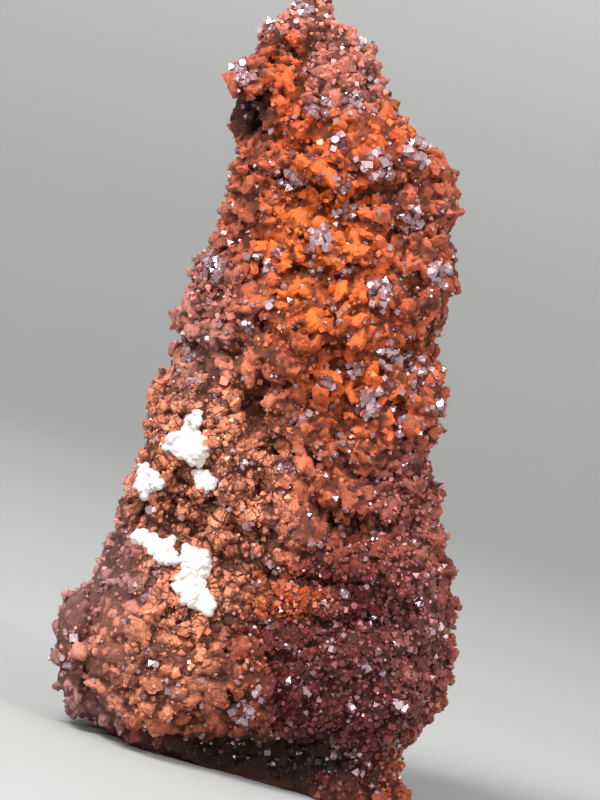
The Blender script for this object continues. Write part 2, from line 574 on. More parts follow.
def random_turns(count, draw):
    """Random rotations as matrices."""
    w, x, y, z = draw.normal(size=(4, count)) + 1e-9
    norm = np.sqrt(w * w + x * x + y * y + z * z)
    w, x, y, z = w / norm, x / norm, y / norm, z / norm
    rows = [
        [1 - 2 * (y * y + z * z), 2 * (x * y - z * w), 2 * (x * z + y * w)],
        [2 * (x * y + z * w), 1 - 2 * (x * x + z * z), 2 * (y * z - x * w)],
        [2 * (x * z - y * w), 2 * (y * z + x * w), 1 - 2 * (x * x + y * y)],
    ]
    return np.array(rows).transpose(2, 0, 1)


def turns_on(normals, lean, draw):
    """Rotations that lay a thing on the surface, turned at random and mostly leaning less than an angle."""
    spread = 0.6
    up = normals + draw.normal(size=normals.shape) * (np.tan(lean) * spread)[:, None]
    up /= np.linalg.norm(up, axis=1)[:, None]
    side = np.cross(up, draw.normal(size=normals.shape))
    side /= np.linalg.norm(side, axis=1)[:, None]
    return np.stack([side, np.cross(up, side), up], axis=2)


def strewn_mesh(name, shapes, which, places, turns, scales, tints, foot_shade=1.0):
    """One mesh of many copies of a few shapes, with a tint each, and a shade that darkens their feet."""
    points, faces, colours, shades, offset = [], [], [], [], 0
    for k, (shape_points, shape_faces) in enumerate(shapes):
        mine = np.flatnonzero(which == k)
        if not len(mine):
            continue
        local = shape_points[None] * scales[mine][:, None, :]
        placed = np.einsum("nij,nvj->nvi", turns[mine], local) + places[mine][:, None, :]
        points.append(placed.reshape(-1, 3))
        starts = offset + np.arange(len(mine)) * len(shape_points)
        faces.append((starts[:, None, None] + shape_faces[None]).reshape(-1, 3))
        offset += len(mine) * len(shape_points)
        colours.append(np.repeat(tints[mine], len(shape_points), axis=0))
        rise = (shape_points[:, 2] - shape_points[:, 2].min()) / np.ptp(shape_points[:, 2])
        shades.append(np.tile(foot_shade + (1 - foot_shade) * rise, len(mine)))
    points, faces = np.concatenate(points) * MM, np.concatenate(faces)
    mesh = bpy.data.meshes.new(name)
    mesh.vertices.add(len(points))
    mesh.vertices.foreach_set("co", points.ravel())
    mesh.loops.add(len(faces) * 3)
    mesh.loops.foreach_set("vertex_index", faces.ravel())
    mesh.polygons.add(len(faces))
    mesh.polygons.foreach_set("loop_start", np.arange(0, len(faces) * 3, 3))
    mesh.update(calc_edges=True)
    add_attribute(mesh, "tint", np.concatenate(colours))
    add_attribute(mesh, "shade", np.concatenate(shades))
    return mesh


def shape_arrays(bm):
    """The points and triangles of a small shape, made from a mesh of its own about the origin."""
    bmesh.ops.triangulate(bm, faces=bm.faces)
    bmesh.ops.recalc_face_normals(bm, faces=bm.faces)
    bm.verts.index_update()
    points = np.array([vert.co[:] for vert in bm.verts])
    faces = np.array([[vert.index for vert in face.verts] for face in bm.faces])
    bm.free()
    return points, faces


def jolt(draw, amount, rise=1.0):
    """A random shift of up to an amount either way across, and of a share of it up or down."""
    return Vector((draw.uniform(-1, 1), draw.uniform(-1, 1), draw.uniform(-rise, rise))) * amount


def flake_shape(seed):
    """A thin angular flake about one across, with a broken rim."""
    draw = random.Random(seed)
    bm = bmesh.new()
    bmesh.ops.create_circle(bm, cap_ends=True, segments=draw.choice((5, 6, 7)), radius=0.52)
    top = bmesh.ops.extrude_face_region(bm, geom=bm.faces[:])
    lifted = [part for part in top["geom"] if isinstance(part, bmesh.types.BMVert)]
    bmesh.ops.translate(bm, vec=(0, 0, FLAKE_THICKNESS), verts=lifted)
    bmesh.ops.translate(bm, vec=(0, 0, -FLAKE_THICKNESS / 2), verts=bm.verts)
    for vert in bm.verts:
        vert.co += jolt(draw, amount=0.16, rise=0.6)
    return shape_arrays(convex_copy(bm))


def block_shape(seed):
    """An angular block about one across: a ball cut by flat breaks on all sides."""
    breaks, nearest, farthest = 6, 0.22, 0.4
    draw = random.Random(seed)
    bm = bmesh.new()
    bmesh.ops.create_icosphere(bm, subdivisions=1, radius=0.6)
    for _ in range(breaks):
        direction = Vector((draw.gauss(0, 1), draw.gauss(0, 1), draw.gauss(0, 1))).normalized()
        geometry = bm.verts[:] + bm.edges[:] + bm.faces[:]
        where = direction * draw.uniform(nearest, farthest)
        bmesh.ops.bisect_plane(bm, geom=geometry, plane_co=where, plane_no=direction, clear_outer=True)
    return shape_arrays(convex_copy(bm))


def knob_shape(seed):
    """A rounded lump about one across."""
    bulge, lumps, shift = 0.35, 2.2, Vector((seed * 5.3, 0, 0))
    bm = bmesh.new()
    bmesh.ops.create_icosphere(bm, subdivisions=2, radius=0.5)
    for vert in bm.verts:
        vert.co *= 1 + bulge * noise.noise(vert.co * lumps + shift)
    return shape_arrays(bm)


def crumb_shape(seed):
    """A tiny angular crumb about one across, with few faces."""
    draw = random.Random(seed)
    bm = bmesh.new()
    bmesh.ops.create_cube(bm, size=0.7)
    for vert in bm.verts:
        vert.co += jolt(draw, amount=0.2)
    return shape_arrays(convex_copy(bm))


def convex_copy(bm):
    """A new mesh that is the convex hull of another, which is freed."""
    points = [vert.co.copy() for vert in bm.verts]
    bm.free()
    hull_mesh = bmesh.new()
    for point in points:
        hull_mesh.verts.new(point)
    hull = bmesh.ops.convex_hull(hull_mesh, input=hull_mesh.verts)
    inside = [part for part in hull["geom_interior"] if isinstance(part, bmesh.types.BMVert)]
    bmesh.ops.delete(hull_mesh, geom=inside, context="VERTS")
    return hull_mesh


def crystal_shapes():
    """The crystals' forms about one across, in the order of their table."""
    shapes = []
    for form, corner_cut, _ in CRYSTAL_FORMS:
        bm = bmesh.new()
        if form == "octahedron":
            bmesh.ops.create_uvsphere(bm, u_segments=4, v_segments=2, radius=0.6)
        else:
            bmesh.ops.create_cube(bm, size=0.74)
        if corner_cut:
            bmesh.ops.bevel(
                bm, geom=bm.verts[:], offset=corner_cut, segments=1, profile=0.5, affect="VERTICES",
                material=-1,
            )
        shapes.append(shape_arrays(bm))
    return shapes


# Materials

class Value:
    """A number socket that takes part in Python expressions, which add Math nodes."""

    def __init__(self, finish, socket):
        self.finish, self.socket = finish, socket

    def _with(self, operation, first, second):
        return self.finish.value("ShaderNodeMath", {"operation": operation}, {0: first, 1: second})

    def __add__(self, other):
        return self._with("ADD", self, other)

    def __sub__(self, other):
        return self._with("SUBTRACT", self, other)

    def __rsub__(self, other):
        return self._with("SUBTRACT", other, self)

    def __mul__(self, other):
        return self._with("MULTIPLY", self, other)

    __radd__ = __add__
    __rmul__ = __mul__


class Finish:
    """A procedural material while its nodes are put together."""

    def __init__(self, name):
        self.material = bpy.data.materials.new(name)
        self.material.use_nodes = True
        self.nodes = self.material.node_tree.nodes
        self.links = self.material.node_tree.links
        self.shader = self.nodes["Principled BSDF"]
        self.position = self.node("ShaderNodeTexCoord").outputs["Object"]

    def node(self, kind, settings_=None, sockets=None):
        """Adds a node of a type, with its settings, and values or links for its sockets."""
        node = self.nodes.new(kind)
        for key, value in (settings_ or {}).items():
            setattr(node, key, value)
        for key, value in (sockets or {}).items():
            self.feed(node.inputs[key], value)
        return node

    def feed(self, socket, value):
        """Links a socket to another one, or sets its value."""
        if isinstance(value, Value):
            value = value.socket
        if isinstance(value, bpy.types.NodeSocket):
            self.links.new(value, socket)
        else:
            socket.default_value = value

    def value(self, kind, settings_=None, sockets=None, output=0):
        return Value(self, self.node(kind, settings_, sockets).outputs[output])

    def number(self, name):
        return self.value("ShaderNodeAttribute", {"attribute_name": name}, output="Fac")

    def colour(self, name):
        return self.node("ShaderNodeAttribute", {"attribute_name": name}).outputs["Color"]

    def noise(self, size, detail=3.0, roughness=0.55):
        """Smooth noise from 0 to 1 whose lumps are about this many millimetres across."""
        sockets = {
            "Vector": self.position, "Scale": 1 / (size * MM), "Detail": detail, "Roughness": roughness,
        }
        return self.value("ShaderNodeTexNoise", None, sockets)

    def steps(self, value, low, high, start=0.0, end=1.0):
        """A value's smooth way from one number to another as it goes from low to high."""
        sockets = {"Value": value, "From Min": low, "From Max": high, "To Min": start, "To Max": end}
        return self.value("ShaderNodeMapRange", {"interpolation_type": "SMOOTHSTEP"}, sockets)

    def warped(self, size, amount):
        """The place on the object, shifted by noise, for patterns that shouldn't look drawn."""
        sockets = {"Vector": self.position, "Scale": 1 / (size * MM), "Detail": 2.0}
        cloud = self.node("ShaderNodeTexNoise", None, sockets).outputs["Color"]
        centred = self.node("ShaderNodeVectorMath", {"operation": "SUBTRACT"}, {0: cloud, 1: (0.5, 0.5, 0.5)})
        moved = self.node(
            "ShaderNodeVectorMath", {"operation": "MULTIPLY_ADD"},
            {0: centred.outputs[0], 1: (amount * MM,) * 3, 2: self.position},
        )
        return moved.outputs[0]

    def crack_distance(self, place, size):
        """How far a place is from the nearest edge between cells about this many millimetres across."""
        sockets = {"Vector": place, "Scale": 1 / (size * MM)}
        return self.value("ShaderNodeTexVoronoi", {"feature": "DISTANCE_TO_EDGE"}, sockets)

    def mixed(self, factor, first, second, blend="MIX"):
        """Two colours mixed by a factor."""
        settings_ = {"data_type": "RGBA", "blend_type": blend, "clamp_factor": True}
        return self.node("ShaderNodeMix", settings_, {0: factor, 6: first, 7: second}).outputs[2]

    def darkened(self, colour, value):
        """A colour multiplied by a number."""
        grey = self.node("ShaderNodeCombineColor", None, {0: value, 1: value, 2: value}).outputs[0]
        return self.mixed(1.0, colour, grey, "MULTIPLY")

    def bump(self, height, distance, strength=1.0):
        """The normal of a relief whose height is given in millimetres times distance."""
        sockets = {"Height": height, "Distance": distance * MM, "Strength": strength}
        return self.node("ShaderNodeBump", None, sockets).outputs[0]

    def finish(self, **sockets):
        """Feeds the shader's sockets, named with underscores for spaces, and returns the material."""
        for key, value in sockets.items():
            self.feed(self.shader.inputs[key.replace("_", " ")], value)
        return self.material


def opaque(colour):
    return (*colour, 1.0)


def rock_material():
    """Earthy rust rock: mottled, crumbly, dark in its cracks."""
    light_speck, dark_speck = opaque(srgb(226, 160, 128)), opaque(srgb(92, 36, 22))
    finish = Finish("rock")
    shade = finish.number("shade")
    plates = finish.number("plates")
    mottle = finish.noise(1.6, detail=4.0, roughness=0.62)
    speck = finish.noise(0.16, detail=2.0, roughness=0.6)
    tint = finish.darkened(finish.colour("tint"), mottle * 0.9 + 0.56)
    tint = finish.mixed(finish.steps(speck, 0.6, 0.74, end=0.35), tint, light_speck)
    tint = finish.mixed(finish.steps(speck, 0.42, 0.3, end=0.5), tint, dark_speck)
    gap = finish.crack_distance(finish.warped(size=0.7, amount=0.5), size=1.25)
    fine_gap = finish.crack_distance(finish.warped(size=0.4, amount=0.25), size=0.55)
    crack = finish.steps(gap, 0.055, 0.0) * plates
    fine_crack = finish.steps(fine_gap, 0.07, 0.0) * 0.6 * plates
    depth = 1 - (1 - crack) * (1 - fine_crack) * finish.steps(shade, 0.1, 0.8)
    tint = finish.mixed(depth * 0.92, tint, opaque(settings().colours.crack))
    rough = finish.noise(0.09, detail=3.0, roughness=0.7)
    rough = rough + finish.noise(0.3, detail=3.0, roughness=0.6) * 0.8
    height = rough - crack * 1.6 - fine_crack * 0.8
    return finish.finish(
        Base_Color=tint,
        Roughness=finish.steps(speck, 0.3, 0.8, start=0.92, end=0.66),
        Normal=finish.bump(height, distance=0.11, strength=0.7),
        Specular_IOR_Level=0.35,
    )


def crystal_material():
    """Bright submetallic crystal faces: dark red inside, grey-lilac where they mirror the light."""
    earth = opaque(srgb(150, 84, 66))
    finish = Finish("cuprite")
    cloud = finish.noise(0.5, detail=3.0, roughness=0.6)
    tint = finish.darkened(finish.colour("tint"), cloud * 0.7 + 0.62)
    dust = finish.steps(finish.noise(0.3, detail=3.0, roughness=0.65), 0.52, 0.68, end=0.6)
    return finish.finish(
        Base_Color=finish.mixed(dust, tint, earth),
        Metallic=0.72 - dust,
        Roughness=finish.steps(cloud, 0.3, 0.75, start=0.12, end=0.34) + dust * 0.5,
        Normal=finish.bump(finish.noise(0.12, detail=2.0), distance=0.02, strength=0.4),
        Specular_IOR_Level=0.8,
    )


def druse_material():
    """Small dark red crystals, glassy on some faces and dusty on others."""
    finish = Finish("druse")
    cloud = finish.noise(0.8, detail=3.0, roughness=0.6)
    tint = finish.darkened(finish.colour("tint"), cloud * 0.9 + 0.5)
    shade = finish.steps(finish.number("shade"), 0.0, 0.8, start=0.35)
    return finish.finish(
        Base_Color=finish.darkened(tint, shade),
        Metallic=finish.steps(finish.noise(0.7, detail=2.0), 0.45, 0.7, start=0.1, end=0.5),
        Roughness=finish.steps(finish.noise(0.6, detail=2.0), 0.35, 0.7, start=0.22, end=0.6),
        Normal=finish.bump(finish.noise(0.1, detail=2.0), distance=0.03, strength=0.5),
        Specular_IOR_Level=0.7,
    )


def crust_material():
    """Chalky white crust with faint stains."""
    stained, pored = opaque(srgb(196, 164, 152)), opaque(srgb(168, 132, 120))
    finish = Finish("white_crust")
    stain = finish.steps(finish.noise(0.9, detail=3.0, roughness=0.65), 0.52, 0.74, end=0.55)
    tint = finish.mixed(stain, opaque(settings().colours.white), stained)
    pore = finish.steps(finish.noise(0.14, detail=2.0, roughness=0.6), 0.44, 0.3, end=0.4)
    return finish.finish(
        Base_Color=finish.mixed(pore, tint, pored),
        Roughness=finish.steps(finish.noise(0.2), 0.3, 0.7, start=0.5, end=0.85),
        Normal=finish.bump(finish.noise(0.08, detail=3.0, roughness=0.7), distance=0.06, strength=0.7),
    )


# The rock

def plug(bm, node_name, rock_tree, rock):
    """Fills the pocket of a node up to the rock around it, by adding the buried half of its hull."""
    near = bmesh.new()
    near.from_mesh(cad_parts[node_name].data)
    hull = convex_copy(near)
    middle = sum((vert.co for vert in hull.verts), Vector()) / len(hull.verts)
    outward = Vector()
    for _, normal, index, _ in rock_tree.find_nearest_range(middle, PLUG_REACH * MM):
        outward += normal * rock.polygons[index].area
    outward.normalize()
    bmesh.ops.scale(hull, vec=(PLUG_GROWTH,) * 3, space=Matrix.Translation(-middle), verts=hull.verts)
    geometry = hull.verts[:] + hull.edges[:] + hull.faces[:]
    cut = bmesh.ops.bisect_plane(
        hull, geom=geometry, dist=1e-7, plane_co=middle - outward * PLUG_DEPTH * MM, plane_no=outward,
        clear_outer=True,
    )
    rim = [part for part in cut["geom_cut"] if isinstance(part, bmesh.types.BMEdge)]
    bmesh.ops.contextual_create(hull, geom=rim)
    bmesh.ops.recalc_face_normals(hull, faces=hull.faces)
    passing = mesh_from(hull, "passing")
    bm.from_mesh(passing)
    bpy.data.meshes.remove(passing)


def rock_core():
    """The rock's solid with its pockets filled, as one fine and slightly softened skin."""
    bm = bmesh.new()
    bm.from_mesh(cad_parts["matrix"].data)
    bmesh.ops.remove_doubles(bm, verts=bm.verts, dist=CORE_MERGING * MM)
    tree = BVHTree.FromBMesh(bm)
    merged = mesh_from(bm.copy(), "rock_merged")
    for name in CLUSTER_NODES + CRUST_NODES:
        plug(bm, name, tree, merged)
    return finished_mesh(
        mesh_from(bm, "rock_blank"),
        voxels(settings().rock.coarse_voxel),
        ("SMOOTH", {"factor": 0.5, "iterations": CORE_SMOOTHING}),
    )


def cells_at(place, size):
    """One layer of cells: a random vector for the cell, the way across it, and how near its edge is."""
    crookedness, crook_rate, seat_rate = 0.28, 1.3, 17.3
    scaled = place / size
    scaled += crookedness * noise.noise_vector(scaled * crook_rate)
    distances, seats = noise.voronoi(scaled)
    return noise.noise_vector(seats[0] * seat_rate), scaled - seats[0], distances


def cell_relief(place, size, relief, tilt):
    """How high the tilted cell that a place is in stands there."""
    lift = 1.2
    chance, way, _ = cells_at(place, size)
    return relief * (tilt * chance.dot(way) + lift * chance.z)


def move_points(mesh, points, normals, moves):
    """Moves a mesh's points along their normals, but never under the base."""
    points = points + normals * moves[:, None]
    points[:, 2] = np.maximum(points[:, 2], 0.0)
    mesh.vertices.foreach_set("co", (points * MM).ravel())
    mesh.update()


def step_relief(across, height):
    """How far the ledges, walls, knobs and hollows push the front out, in millimetres."""
    total = np.zeros(len(across))
    for stands_out, is_recessed, line in STEP_LINES:
        nearest, side = np.full(len(across), np.inf), np.ones(len(across))
        for (x0, z0), (x1, z1) in zip(line, line[1:]):
            run, rise = x1 - x0, z1 - z0
            share = ((across - x0) * run + (height - z0) * rise) / (run * run + rise * rise)
            share = np.clip(share, 0.0, 1.0)
            distance = np.hypot(across - x0 - share * run, height - z0 - share * rise)
            leftward = run * (height - z0) - rise * (across - x0)
            side = np.where(distance < nearest, leftward, side)
            nearest = np.minimum(distance, nearest)
        out = stands_out * np.exp(-((nearest / STEP_REACH[0]) ** 2))
        recess = is_recessed * np.exp(-((nearest / STEP_REACH[1]) ** 2))
        total += np.where(side > 0, out, -recess)
    for x, z, half_width, half_height, depth in KNOBS:
        reach = ((across - x) / half_width) ** 2 + ((height - z) / half_height) ** 2
        total += depth * np.exp(-(reach ** 2) * KNOB_FALLOFF)
    return np.clip(total, *RELIEF_LIMITS)


def break_into_slabs(mesh):
    """Gives the rock's skin its tilted slabs and chunks, and its front the steps and knobs."""
    calm_loss, druse_loss, plates_loss = 0.85, 0.4, 0.6
    values = settings().rock
    slab, chunk = values.slab / MM, values.chunk / MM
    slab_relief, chunk_relief = values.slab_relief / MM, values.chunk_relief / MM
    points, normals = mesh_arrays(mesh)
    breaks = breaks_at(points, normals)
    loose = (1 - calm_loss * breaks["calm"]) * (1 - druse_loss * breaks["druse"])
    moves = np.empty(len(points))
    for k, point in enumerate(points):
        slabs = cell_relief(Vector(point), slab, slab_relief, tilt=2.4)
        chunks = cell_relief(Vector(point), chunk, chunk_relief, tilt=2.8)
        moves[k] = slabs + chunks * (1 - plates_loss * breaks["plates"][k])
    across, _, height = front_places(points + wander(points, size=1.1, amount=STEP_WANDER, salt=3))
    steps = step_relief(across, height) * turned_back(normals, -1.6, 0.1)
    move_points(mesh, points, normals, moves * loose + steps)


def flakes_mesh(ground, draw):
    """The flakes, blocks and knobs that the rock crumbles into, and where each of them is."""
    foot, calm_loss, back_loss, closeness = 0.6, 0.5, 0.55, 0.3
    values = settings().rock
    over = ground.middles[:, 2] > foot
    density = over * (1 - calm_loss * ground.breaks["calm"])
    density = density * (1 - back_loss * turned_back(ground.facing, 1.5))
    places, normals, chosen = ground.strewn(values.flake_count, density, draw)
    low, high = values.smallest_flake / MM, values.largest_flake / MM
    sizes = random_sizes(low, high - low, len(places), draw, rarity=2.0)
    regions = np.zeros(len(places), int)
    for k, kind in enumerate(FLAKE_HABITS):
        if k > 0:
            regions[draw.random(len(places)) < ground.breaks[kind][chosen]] = k
    habits = np.array(list(FLAKE_HABITS.values()))
    sizes *= habits[regions, 0]
    order = np.argsort(-sizes)
    order = order[spaced(places[order], sizes[order], closeness)]
    places, normals, sizes, habits = places[order], normals[order], sizes[order], habits[regions[order]]

    count = len(sizes)
    tilts, sinks, shares = np.radians(habits[:, 1]), habits[:, 2], np.cumsum(habits[:, 3:], axis=1)
    kinds = (draw.random(count)[:, None] > shares).sum(axis=1)
    makers = (flake_shape, block_shape, knob_shape)
    shapes = [make(seed) for make in makers for seed in range(SHAPES_OF_A_KIND)]
    which = np.minimum(kinds, len(makers) - 1) * SHAPES_OF_A_KIND + draw.integers(0, SHAPES_OF_A_KIND, count)
    stretch = [np.ones(count), draw.uniform(*FLAKE_WIDTHS, count), draw.uniform(*FLAKE_HEIGHTS, count)]
    scales = sizes[:, None] * np.stack(stretch, axis=1)
    turns = turns_on(normals, tilts, draw)
    rises = draw.uniform(-FLAKE_RISE, FLAKE_RISE, count) - sinks
    places = places + normals * (sizes * rises)[:, None]
    return strewn_mesh("flakes", shapes, which, places, turns, scales, np.zeros((count, 3))), places


def joined(*meshes):
    """One mesh made of several."""
    bm = bmesh.new()
    for mesh in meshes:
        bm.from_mesh(mesh)
    return mesh_from(bm, "joined")


def add_cracks_and_grain(mesh):
    """Cuts the cracks between the plates and roughens the skin, and says how open each point is."""
    fine_size, coarse_size, coarse_share = 0.2, 0.5, 1.6
    crack_width, least_crack, calmest = 0.13, 0.3, 0.9
    least_druse, bead_share, bead_level = 0.05, 0.35, 0.45
    values = settings().rock
    spacing, crack_depth = values.crack_spacing / MM, values.crack_depth / MM
    bead, grain = values.bead / MM, values.grain / MM
    points, normals = mesh_arrays(mesh)
    breaks = breaks_at(points, normals)
    moves, open_shares = np.empty(len(points)), np.empty(len(points))
    rows = zip(points, breaks["plates"], breaks["calm"], breaks["druse"])
    for k, (point, plates, calm, druse) in enumerate(rows):
        place = Vector(point)
        move = grain * (noise.noise(place / fine_size) + coarse_share * noise.noise(place / coarse_size))
        crack = 0.0
        if calm < calmest:
            _, _, distances = cells_at(place, spacing)
            crack = max(0.0, 1 - (distances[1] - distances[0]) / crack_width)
            crack = crack * (least_crack + (1 - least_crack) * plates) * (1 - calm)
            move -= crack_depth * crack
        if druse > least_druse:
            move += druse * bead * bead_share * (bead_level - noise.voronoi(place / bead)[0][0])
        moves[k] = move
        open_shares[k] = 1 - crack
    move_points(mesh, points, normals, moves)
    add_attribute(mesh, "shade", open_shares)


def shade_gaps(skin, core):
    """Darkens the shade of a skin where it lies low on the core that it was built on."""
    darkest, sunk, clear = 0.25, 0.05, 0.4
    tree = tree_of(core)
    rises = np.empty(len(skin.vertices))
    for k, vert in enumerate(skin.vertices):
        near, normal, _, _ = tree.find_nearest(vert.co)
        rises[k] = (vert.co - near).dot(normal) / MM
    shades = np.empty(len(rises), np.float32)
    stored = skin.attributes["shade"].data
    stored.foreach_get("value", shades)
    shades = shades * (darkest + (1 - darkest) * smooth((rises + sunk) / clear))
    stored.foreach_set("value", shades.astype(np.float32))


def nearest_of(places, points):
    """For each point, which of the places is nearest."""
    seats = kdtree.KDTree(len(places))
    for k, place in enumerate(places):
        seats.insert(place, k)
    seats.balance()
    return np.array([seats.find(point)[1] for point in points])


def rock_skin(draw):
    """The rock's visible skin, thinned, with its tint and its cracks stored on it."""
    dimmest, brightest, least_plates = 0.72, 1.28, 0.2
    core = rock_core()
    break_into_slabs(core)
    flakes, flake_places = flakes_mesh(Ground(core), draw)
    crumbled = finished_mesh(joined(core, flakes), voxels(settings().rock.fine_voxel))
    add_cracks_and_grain(crumbled)
    skin = thinned(crumbled, settings().rock.triangles)
    shade_gaps(skin, core)
    points, normals = mesh_arrays(skin)
    light = draw.uniform(dimmest, brightest, len(flake_places))[nearest_of(flake_places, points)]
    add_attribute(skin, "tint", np.clip(tints_at(points, normals) * light[:, None], 0.0, 1.0))
    plates = breaks_at(points, normals)["plates"]
    add_attribute(skin, "plates", np.clip(plates + least_plates, 0, 1))
    skin.shade_smooth()
    skin.set_sharp_from_angle(angle=math.radians(45))
    return skin


def crumbs_mesh(name, ground, draw):
    """Crumbs strewn over the rock, with the rock's own tints, each a little lighter or darker."""
    foot, back_loss, plates = 0.3, 0.6, 0.1
    values = settings().crumbs
    density = (ground.middles[:, 2] > foot) * (1 - back_loss * turned_back(ground.facing, 1.5))
    places, normals, _ = ground.strewn(values.count, density, draw)
    low, high = values.smallest / MM, values.largest / MM
    count = len(places)
    sizes = random_sizes(low, high - low, count, draw, rarity=2.2)
    scales = sizes[:, None] * draw.uniform(0.6, 1.1, (count, 3))
    places = places + normals * (sizes * draw.uniform(-0.2, 0.15, count))[:, None]
    shapes = [crumb_shape(seed) for seed in range(SHAPES_OF_A_KIND)]
    which = draw.integers(0, len(shapes), count)
    tints = np.clip(tints_at(places, normals) * draw.uniform(0.65, 1.3, (count, 1)), 0.0, 1.0)
    turns = random_turns(count, draw)
    mesh = strewn_mesh(name, shapes, which, places, turns, scales, tints, foot_shade=0.6)
    add_attribute(mesh, "plates", np.full(len(mesh.vertices), plates))
    mesh.shade_flat()
    return mesh


# The crystals

def crystal_tints(count, pale, draw):
    """A tint for each crystal, between dark red and grey-lilac."""
    colours = settings().colours
    share = np.clip(pale + draw.normal(0, 0.22, count), 0.0, 1.0)[:, None]
    tint = np.array(colours.dark_crystal) * (1 - share) + np.array(colours.crystal) * share
    return np.clip(tint * draw.uniform(0.75, 1.25, (count, 1)), 0.0, 1.0)


def nest(tree, spot, radius, count, pale, smallest, span, rarity, draw):
    """The places, directions, sizes and tints of crystals on the rock round one spot of its front."""
    before = -40.0
    places, normals = [], []
    for _ in range(count):
        angle, reach = draw.uniform(0, math.tau), radius * math.sqrt(draw.random())
        start = frame_place(spot[0] + reach * math.cos(angle), before, spot[1] + reach * math.sin(angle))
        hit, normal, _, _ = tree.ray_cast(start, Vector((0, 1, 0)))
        if hit is not None:
            places.append(np.array(hit) / MM)
            normals.append(np.array(normal))
    sizes = random_sizes(smallest, span, len(places), draw, rarity)
    tints = crystal_tints(len(places), pale, draw)
    return np.reshape(places, (-1, 3)), np.reshape(normals, (-1, 3)), sizes, tints


def crystals_mesh(name, places, normals, sizes, tints, draw, rise):
    """Crystals of several forms, each turned its own way and partly sunk where it grows."""
    shapes = crystal_shapes()
    which = draw.choice(len(shapes), len(sizes), p=[share for _, _, share in CRYSTAL_FORMS])
    scales = sizes[:, None] * draw.uniform(0.8, 1.15, (len(sizes), 3))
    places = places + normals * (sizes * rise)[:, None]
    turns = random_turns(len(sizes), draw)
    mesh = strewn_mesh(name, shapes, which, places, turns, scales, tints)
    mesh.shade_flat()
    return mesh


# The crusts

def inside(outline, across, height):
    """Whether each place is inside a closed outline."""
    result = np.zeros(len(across), bool)
    for (x0, z0), (x1, z1) in zip(outline, outline[1:] + outline[:1]):
        crosses = (z0 > height) != (z1 > height)
        result ^= crosses & (across < (x1 - x0) * (height - z0) / (z1 - z0 + 1e-12) + x0)
    return result


def crust_mesh(name, outline, ground, draw):
    """A white crust: grains heaped inside an outline on the rock, grown together into one lumpy skin."""
    backmost, thickest = 0.1, 1.5
    lump, lump_size, pit, pit_size = 0.09, 0.35, 0.05, 0.14
    within = inside(outline, ground.across, ground.height) & (ground.facing[:, 1] < backmost)
    within &= ground.depth < np.median(ground.depth[within]) + thickest
    area = ground.areas[within].sum()
    places, normals, _ = ground.strewn(int(area * CRUST_GRAINS), within.astype(float), draw)
    bm = bmesh.new()
    for place, normal in zip(places, normals):
        size = draw.uniform(*CRUST_GRAIN_SIZES) * MM
        where = Vector(place) * MM + Vector(normal) * draw.uniform(*CRUST_HEAP) * MM
        spot = Matrix.Translation(where) @ Matrix.Diagonal((*draw.uniform(0.75, 1.25, 3), 1.0))
        bmesh.ops.create_icosphere(bm, subdivisions=2, radius=size, matrix=spot)
    grown = finished_mesh(mesh_from(bm, name), voxels(CRUST_VOXEL * MM))
    points, normals = mesh_arrays(grown)
    for k, point in enumerate(points):
        place = Vector(point)
        rough = lump * noise.noise(place / lump_size) + pit * noise.noise(place / pit_size)
        points[k] += normals[k] * rough
    grown.vertices.foreach_set("co", (points * MM).ravel())
    grown.update()
    crust = thinned(grown, CRUST_TRIANGLES)
    crust.shade_smooth()
    crust.set_sharp_from_angle(angle=math.radians(50))
    return crust


# The studio

def backdrop_mesh():
    """A floor that curves up into a round wall all about, with no edge to be seen."""
    floor_reach, bend, wall_height, steps = 0.55, 0.55, 1.6, 10
    profile = [(0.0, 0.0), (floor_reach / 2, 0.0), (floor_reach, 0.0)]
    for step in range(1, steps + 1):
        angle = math.pi / 2 * step / steps
        profile.append((floor_reach + bend * math.sin(angle), bend * (1 - math.cos(angle))))
    profile.append((floor_reach + bend, wall_height))
    bm = bmesh.new()
    verts = [bm.verts.new((x, 0.0, z)) for x, z in profile]
    edges = [bm.edges.new(pair) for pair in zip(verts, verts[1:])]
    bmesh.ops.spin(
        bm, geom=verts + edges, axis=(0, 0, 1), cent=(0, 0, 0), angle=math.tau, steps=96, use_merge=True
    )
    bmesh.ops.remove_doubles(bm, verts=bm.verts, dist=1e-5)
    bmesh.ops.recalc_face_normals(bm, faces=bm.faces)
    if min(bm.faces, key=lambda face: face.calc_center_median().length).normal.z < 0:
        bmesh.ops.reverse_faces(bm, faces=bm.faces)
    mesh = mesh_from(bm, "backdrop")
    mesh.shade_smooth()
    return mesh


def backdrop_material():
    """Matt pale paper with the faintest unevenness."""
    wall_start, unevenness, warm_paper = 0.4, 0.12, opaque(srgb(222, 221, 218))
    values = settings().studio
    finish = Finish("backdrop")
    cloud = finish.noise(220.0, detail=2.0)
    height = finish.node("ShaderNodeSeparateXYZ", None, {0: finish.position}).outputs["Z"]
    paper = finish.steps(height, 0.0, wall_start)
    paper = finish.mixed(paper, opaque(values.floor), opaque(values.backdrop))
    tint = finish.mixed(cloud * unevenness, paper, warm_paper)
    return finish.finish(Base_Color=tint, Roughness=0.95, Specular_IOR_Level=0.1)


def photo_place(right, up, near):
    """A point given as the photograph sees it, in metres: to its right, up it and towards the viewer."""
    x = right * math.cos(LEAN) - up * math.sin(LEAN)
    z = right * math.sin(LEAN) + up * math.cos(LEAN)
    return Vector((x, -near, z))


